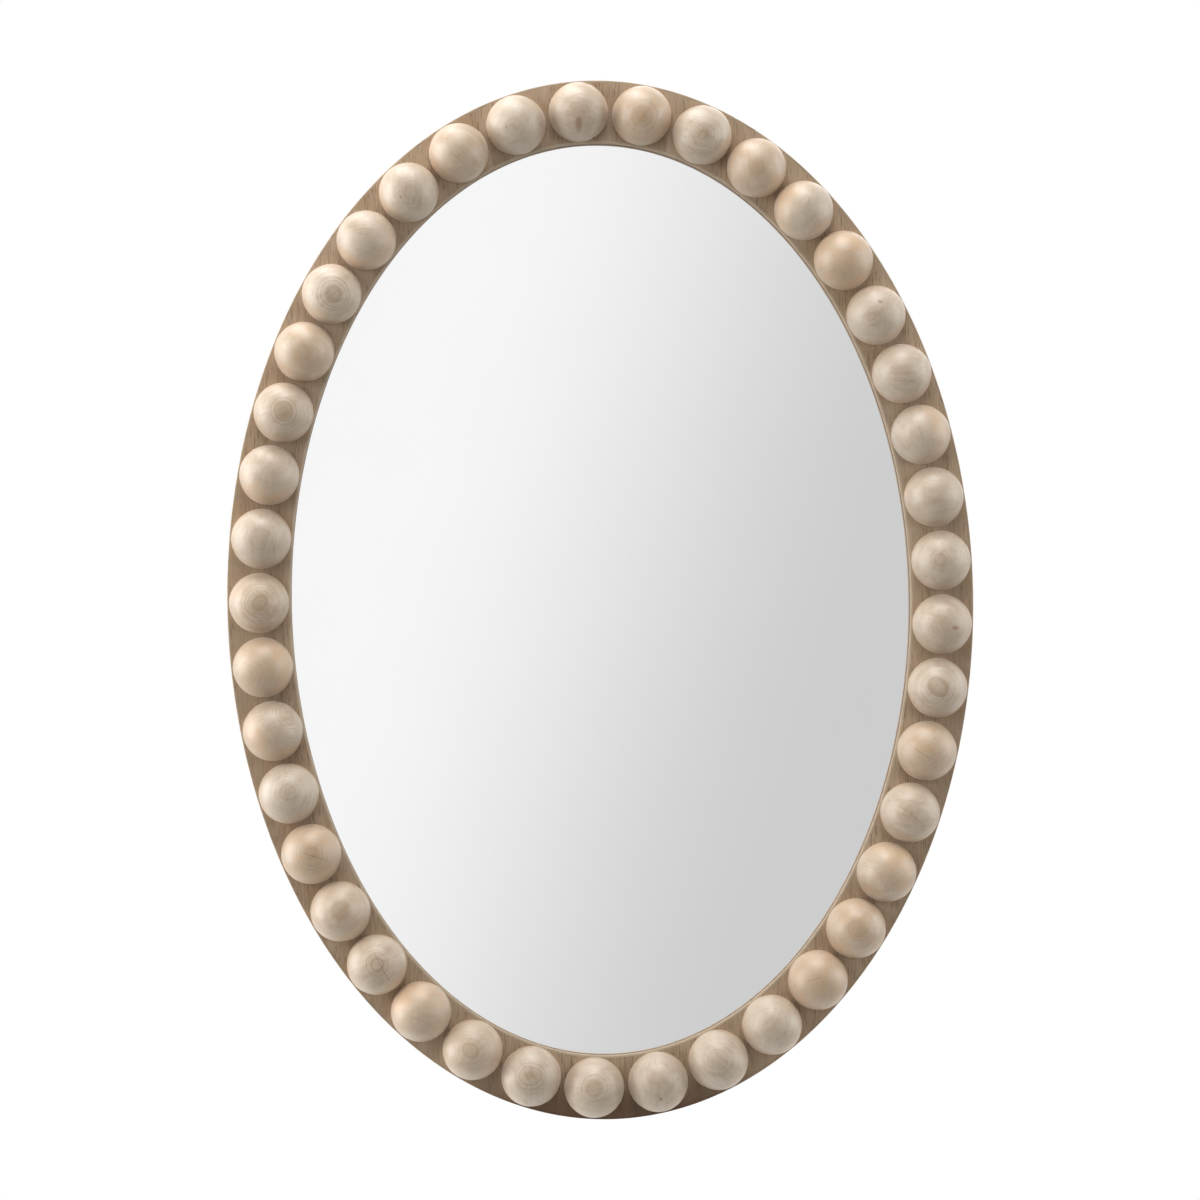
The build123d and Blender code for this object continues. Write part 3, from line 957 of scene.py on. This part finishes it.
plate = zinc_plate()
draw_turn = random.Random(11)
BACKING_SCREWS = 12
BACKING_SCREW_INSET = 8 * MM  # from the hardboard's edge
flat_screw = countersunk_screw()
screw_wide, screw_tall = oval_size(BACKING_REACH - BACKING_SCREW_INSET)
for number in range(BACKING_SCREWS):
    angle = 2 * pi * number / BACKING_SCREWS
    screw = copy_to(
        flat_screw,
        screw_wide * cos(angle),
        BACKING_BACK,
        screw_tall * sin(angle),
        draw_turn.uniform(0, pi / 2),
    )
    name = f"countersunk_screw_{number + 1:02d}"
    hand_over(screw, name, plate, "mirror", ["backing_screws"])
bpy.data.objects.remove(flat_screw)

# The hangers: a steel strip folded double round the ring's straight side
GAUGE = 1 * MM
LAYER = GAUGE * 0.985  # leaves a fine seam between the strip's two layers
PUNCHED_EDGE = 0.14 * MM
WIRE_RADIUS = 1.25 * MM
WIRE_PLAY = 0.1 * MM  # between the wire and the strip round it
LOOP_RADIUS = WIRE_RADIUS + WIRE_PLAY + GAUGE / 2  # this and the neck's to the strip's middle
NECK_RADIUS = 1.2 * MM + GAUGE / 2
STRAP_CORNER = 6 * MM
LOOP_FACETS = 24
NECK_FACETS = 6
CORNER_FACETS = 8


def folded_strap(low, high):
    """The strap as rows across its width: from the end of the inner layer up, round the ring's
    straight side and down the outer layer. It is given its thickness last."""
    half_width = (high.x - low.x) / 2
    inner_y = GAUGE / 2 - BACKING_BACK
    outer_y = inner_y + GAUGE
    loop_y = inner_y + LOOP_RADIUS
    loop_z = high.z - LOOP_RADIUS - GAUGE / 2
    neck_y = outer_y + NECK_RADIUS
    neck_z = loop_z - sqrt((LOOP_RADIUS + NECK_RADIUS) ** 2 - (neck_y - loop_y) ** 2)
    meeting = atan2(loop_z - neck_z, neck_y - loop_y)
    rounded_end = []
    for step in range(CORNER_FACETS + 1):
        turn = pi / 2 * step / CORNER_FACETS
        width = half_width - STRAP_CORNER * (1 - sin(turn))
        rounded_end.append((width, low.z + STRAP_CORNER * (1 - cos(turn))))
    rows = [(width, inner_y, z) for width, z in rounded_end]
    for step in range(LOOP_FACETS + 1):
        turn = (pi + meeting) * step / LOOP_FACETS
        y, z = loop_y - LOOP_RADIUS * cos(turn), loop_z + LOOP_RADIUS * sin(turn)
        rows.append((half_width, y, z))
    for step in range(1, NECK_FACETS + 1):
        turn = meeting * (1 - step / NECK_FACETS)
        y, z = neck_y - NECK_RADIUS * cos(turn), neck_z + NECK_RADIUS * sin(turn)
        rows.append((half_width, y, z))
    rows += [(width, outer_y, z) for width, z in reversed(rounded_end)]

    # The far edge of a grid two units wide and deep is the first row, and the rest goes.
    strap = start(bpy.ops.mesh.primitive_grid_add, x_subdivisions=10, y_subdivisions=1, size=2.0)
    pick("VERT", lambda point: point.y < 0)
    bpy.ops.mesh.delete(type="VERT")
    bpy.ops.mesh.select_all(action="SELECT")
    width, y, z = rows[0]
    widen(x=width)
    move(y=y - 1.0, z=z)
    bpy.ops.mesh.select_mode(type="EDGE")
    for next_width, next_y, next_z in rows[1:]:
        bpy.ops.mesh.extrude_edges_move()
        widen(x=next_width / width)
        move(y=next_y - y, z=next_z - z)
        width, y, z = next_width, next_y, next_z
    stop_editing()
    thicken = {"thickness": LAYER, "offset": 0.0, "use_even_offset": True}
    soften = {"width": PUNCHED_EDGE, "segments": 2, "limit_method": "ANGLE"}
    for kind, settings in (("SOLIDIFY", thicken), ("BEVEL", soften)):
        modifier = strap.modifiers.new(kind, kind)
        for setting, value in settings.items():
            setattr(modifier, setting, value)
        bpy.ops.object.modifier_apply(modifier=modifier.name)
    return strap


# The rings, measured to the middle of their wire
RING_HALF_WIDTH = 11.25 * MM
RING_LENGTH = 17.5 * MM
RING_CORNER = 2.5 * MM
WIRE_FACETS = 20
BEND_FACETS = 10
BOW_FACETS = 40
RING_REST = 0.15 * MM  # how far the bow of a ring at rest stays off its strap
RING_LEAN = asin((WIRE_RADIUS + RING_REST - (LOOP_RADIUS - 1.5 * GAUGE)) / RING_LENGTH)


def bent_ring():
    """A D ring of round wire in the plane of Y 0: its straight side lies on the X axis, and its
    bow hangs below."""
    bow_z = RING_HALF_WIDTH - RING_LENGTH
    corner_x = RING_HALF_WIDTH - RING_CORNER
    ring = start(
        bpy.ops.mesh.primitive_circle_add,
        vertices=WIRE_FACETS,
        radius=WIRE_RADIUS,
        location=(-RING_HALF_WIDTH, 0, bow_z),
    )
    open_up(ring)

    def bend(angle, steps, x, z):
        bpy.ops.mesh.spin(steps=steps, angle=-angle, center=(x, 0, z), axis=(0, 1, 0))

    def draw_out(x, z):
        bpy.ops.mesh.extrude_edges_move()
        move(x=x, z=z)

    draw_out(0, -RING_CORNER - bow_z)
    bend(pi / 2, BEND_FACETS, -corner_x, -RING_CORNER)
    draw_out(2 * corner_x, 0)
    bend(pi / 2, BEND_FACETS, corner_x, -RING_CORNER)
    draw_out(0, bow_z + RING_CORNER)
    bend(pi, BOW_FACETS, 0, bow_z)
    stop_editing(merge=10 * SEAM)
    return ring


HANGER_SCREWS = {"upper": 24 * MM, "lower": 42 * MM}  # how far below the ring's straight side
round_screw = dome_screw()
ring_pattern = bent_ring()
for side in ("left", "right"):
    low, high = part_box(f"hanger_strap_{side}")
    middle = (low.x + high.x) / 2
    strap = folded_strap(low, high)
    strap.location.x = middle
    name = f"folded_strap_{side}"
    hand_over(strap, name, plate, "mirror", [f"hanger_strap_{side}"])
    loop_height = BACKING_BACK - LOOP_RADIUS - GAUGE / 2
    loop_z = high.z - LOOP_RADIUS - GAUGE / 2
    ring = copy_to(ring_pattern, middle, loop_height, loop_z)
    ring.rotation_euler = (RING_LEAN, 0, 0)
    hand_over(ring, f"wire_ring_{side}", plate, f"ring_{side}", [f"d_ring_{side}"])
    for level, below in HANGER_SCREWS.items():
        screw = copy_to(
            round_screw,
            middle,
            BACKING_BACK - 2 * GAUGE,
            loop_z - below,
            draw_turn.uniform(0, pi / 2),
        )
        name = f"dome_screw_{side}_{level}"
        hand_over(screw, name, plate, "mirror", ["hanger_screws"])
for pattern in (round_screw, ring_pattern):
    bpy.data.objects.remove(pattern)

# The bumpers: blunt cones whose narrow ends, with a shallow dish, meet the wall
BUMPER_RADIUS = 8 * MM
BUMPER_TAPER = radians(10)
BUMPER_FOOT = BUMPER_RADIUS - BACKING_BACK * tan(BUMPER_TAPER)
BUMPER_RIM = 0.15 * MM
FOOT_ROUND = [(0.15, 0.8), (-0.1, 0.36), (-0.35, 0.104), (-0.8, 0.0)]  # mm outside the foot, height
DISH = [(3.3, 0.0), (3.0, 0.12), (2.7, 0.5), (2.3, 0.62), (0.4, 0.66)]  # radius in mm, height
bumper_pattern = carried_round(
    [(BUMPER_RADIUS - BUMPER_RIM, BACKING_BACK), (BUMPER_RADIUS, BACKING_BACK - BUMPER_RIM)]
    + [(BUMPER_FOOT + outside * MM, height * MM) for outside, height in FOOT_ROUND]
    + [(radius * MM, height * MM) for radius, height in DISH],
    ring=False,
    size=round_size,
    steps=64,
)
rubber = bumper_rubber()
for corner in ("upper_left", "upper_right", "lower_left", "lower_right"):
    low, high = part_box(f"bumper_{corner}")
    bumper = copy_to(bumper_pattern, (low.x + high.x) / 2, 0.0, (low.z + high.z) / 2)
    name = f"rubber_{corner}"
    hand_over(bumper, name, rubber, "mirror", [f"bumper_{corner}"])
bpy.data.objects.remove(bumper_pattern)

# ---- What stays as modelled, between the other pieces ----
for name, finish in (("liner_sheet", liner_foam()), ("bead_pins", pin_wood())):
    coat(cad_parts[name], finish)

# ---- The studio: a pale floor, soft boxes round the wall plane and a pale room ----
FLOOR = -2.25
FLOOR_RADIUS = 2.6
FLOOR_FADE = (1300.0, 2560.0)  # it thins away between these distances in mm from its middle
floor = start(
    bpy.ops.mesh.primitive_circle_add, vertices=128, radius=FLOOR_RADIUS, fill_type="NGON"
)
floor.name = "floor"
floor.location.z = FLOOR
floor_finish = Finish("pale_floor", Roughness=0.8, Specular_IOR_Level=0.1)
floor_finish.give("Base Color", (0.92, 0.92, 0.915, 1))
from_middle = floor_finish.place_in_mm().length()
floor_finish.give("Alpha", from_middle.between(*FLOOR_FADE, 1.0, 0.0))
coat(floor, floor_finish)


def soft_box(name, place, width, height, watts):
    """A soft lamp with a rectangular face, turned towards the middle of the mirror."""
    let_go()
    bpy.ops.object.light_add(type="AREA", location=place)
    lamp = bpy.context.object
    lamp.name = name
    lamp.data.shape = "RECTANGLE"
    lamp.data.size, lamp.data.size_y = width, height
    lamp.data.energy = watts
    lamp.rotation_euler = (-Vector(place)).to_track_quat("-Z", "Y").to_euler()
    lamp.visible_camera = False
    return lamp


soft_box("left", (-6.0, -0.28, 0.3), 4.4, 5.6, 345)
soft_box("left_front", (-1.8, -1.3, 0.9), 1.0, 1.0, 8.5)
soft_box("top", (-0.7, -0.48, 5.2), 6.0, 2.4, 232)
soft_box("top_front", (-0.2, -1.2, 1.9), 1.6, 1.0, 10)
soft_box("right", (6.0, -0.4, 1.0), 3.8, 5.0, 134)
soft_box("right_front", (1.8, -1.3, 0.3), 1.0, 1.0, 5.5)
low_box = soft_box("bottom", (0.0, -0.15, -2.2), 1.8, 0.9, 4)
low_box.visible_glossy = False
soft_box("back", (0.6, 2.4, 1.4), 2.2, 2.2, 22)

world = bpy.data.worlds.new("pale_room")
bpy.context.scene.world = world
world.use_nodes = True
room = world.node_tree
room.nodes.clear()


def room_node(kind, inputs, output=0, **settings):
    """A node of the room: the values or links of its sockets, and its settings."""
    node = room.nodes.new(kind)
    for setting, value in settings.items():
        setattr(node, setting, value)
    for socket, value in inputs.items():
        if isinstance(value, bpy.types.NodeSocket):
            room.links.new(value, node.inputs[socket])
        else:
            node.inputs[socket].default_value = value
    return node.outputs[output]


def room_light(strength, colour=(1, 1, 1, 1)):
    return room_node("ShaderNodeBackground", {0: colour, 1: strength})


def room_between(value, low, high, start, end):
    """Goes smoothly from start to end while the value goes from low to high."""
    inputs = {0: value, 1: low, 2: high, 3: start, 4: end}
    return room_node("ShaderNodeMapRange", inputs, interpolation_type="SMOOTHSTEP")


# The glass shows a pale room, darker beyond a slanted line across the part that it faces, and the
# camera itself sees white.
ROOM_LIGHT = 0.045
WHITE, PALE, DARKER = 1.0, 0.98, 0.65
SLANT = (0.95, 0.0, -0.3135)  # square to that line
SLANT_FROM, SLANT_TO = -0.035, 0.14
FACED, BESIDE = -0.93, -0.78  # along Y, where that part ends and where the rest begins
way = room_node("ShaderNodeTexCoord", {}, output="Generated")
beyond = room_node("ShaderNodeVectorMath", {0: way, 1: SLANT}, output=1, operation="DOT_PRODUCT")
way_y = room_node("ShaderNodeSeparateXYZ", {0: way}, output=1)
faced_part = room_between(beyond, SLANT_FROM, SLANT_TO, PALE, DARKER)
mirrored = room_light(room_between(way_y, FACED, BESIDE, faced_part, PALE))
plain = room_light(ROOM_LIGHT, (0.93, 0.96, 1.0, 1))
ray = room.nodes.new("ShaderNodeLightPath").outputs
glossy_or_through = {0: ray["Is Glossy Ray"], 1: ray["Is Transmission Ray"]}
reflection = room_node("ShaderNodeMath", glossy_or_through, operation="MAXIMUM")
direct = room_node("ShaderNodeMath", {0: ray["Diffuse Depth"], 1: 0.5}, operation="LESS_THAN")
reflection = room_node("ShaderNodeMath", {0: reflection, 1: direct}, operation="MULTIPLY")
unseen = room_node("ShaderNodeMixShader", {0: reflection, 1: plain, 2: mirrored})
whole = room_node("ShaderNodeMixShader", {0: ray["Is Camera Ray"], 1: unseen, 2: room_light(WHITE)})
output = room.nodes.new("ShaderNodeOutputWorld")
room.links.new(whole, output.inputs[0])
